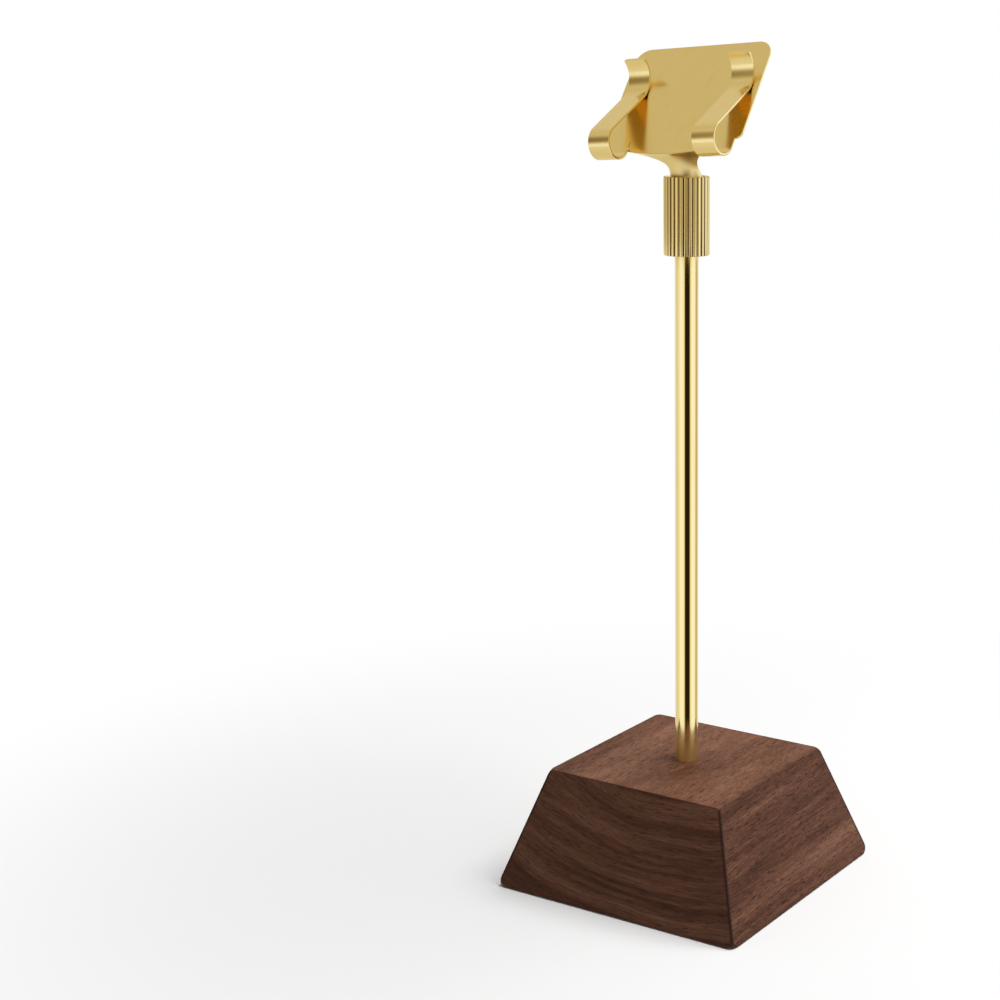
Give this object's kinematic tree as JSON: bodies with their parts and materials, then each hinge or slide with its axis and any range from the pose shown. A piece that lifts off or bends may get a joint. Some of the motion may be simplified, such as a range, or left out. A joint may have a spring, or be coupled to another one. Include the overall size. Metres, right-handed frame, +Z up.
{
  "type": "table sign holder",
  "caption": "Table sign holder: a wooden block carries a thin metal post, whose sheet-metal spring clip turns and tilts on a ball joint and is locked by a knurled sleeve.",
  "frame": {"origin": "middle of the underside of the base", "axes": "+Z up along the post, the clip's front faces -Y, +X to the right seen from the front"},
  "size_m": [0.06, 0.06, 0.1806],
  "materials": {
    "walnut": "dark oiled walnut, satin, with fine open pores",
    "felt": "black pressed felt",
    "zinc_steel": "bright zinc plating",
    "gold_rod": "polished, drawn along its length",
    "bare_brass": "turned, unplated",
    "ball_steel": "polished",
    "nylon": "moulded natural nylon",
    "gold_knurl": "polished, straight knurled",
    "gold_sheet": "mirror-polished sheet"
  },
  "bodies": {
    "stand": {"base": "walnut", "base_pad": "felt", "fixing_washer": "zinc_steel", "fixing_screw": "zinc_steel", "post": "gold_rod", "thread_collar": "bare_brass", "ball_stud": "ball_steel"},
    "ring": {"pressure_ring": "bare_brass"},
    "sleeve": {"lock_sleeve": "gold_knurl"},
    "swivel": {"lower_seat": "nylon"},
    "tilt": {"upper_seat": "nylon"},
    "head": {"clip_plate": "gold_sheet"},
    "left_jaw": {"left_arm": "gold_sheet"},
    "right_jaw": {"right_arm": "gold_sheet"}
  },
  "joints": [
    {"name": "ring_lift", "type": "slide", "parent": "stand", "child": "ring", "axis": [0, 0, 1], "range_m": [-0.0005, 0]},
    {"name": "sleeve_turn", "type": "hinge", "parent": "ring", "child": "sleeve", "pos_m": [0, 0, 0.1525], "axis": [0, 0, 1], "range_deg": [-360, 0]},
    {"name": "clip_pan", "type": "hinge", "parent": "stand", "child": "swivel", "pos_m": [0, 0, 0.1525], "axis": [0, 0, 1], "continuous": true},
    {"name": "clip_tilt", "type": "hinge", "parent": "swivel", "child": "tilt", "pos_m": [0, 0, 0.1525], "axis": [0.9976, -0.0698, 0], "range_deg": [-20, 18]},
    {"name": "clip_roll", "type": "hinge", "parent": "tilt", "child": "head", "pos_m": [0, 0, 0.1525], "axis": [0.0698, 0.9976, 0], "range_deg": [-9, 14]},
    {"name": "left_arm_open", "type": "hinge", "parent": "head", "child": "left_jaw", "pos_m": [-0.01393, -0.00347, 0.15969], "axis": [0.9958, -0.0696, 0.0593], "range_deg": [0, 12], "stiffness_Nm_per_rad": 0.08, "springref_deg": -20.05},
    {"name": "right_arm_open", "type": "hinge", "parent": "head", "child": "right_jaw", "pos_m": [0.01236, -0.00531, 0.16125], "axis": [0.9958, -0.0696, 0.0593], "range_deg": [0, 12], "stiffness_Nm_per_rad": 0.08, "springref_deg": -20.05}
  ],
  "couplings": [
    {"joint": "sleeve_turn", "follows": "ring_lift", "rad_per_m": 12566}
  ]
}
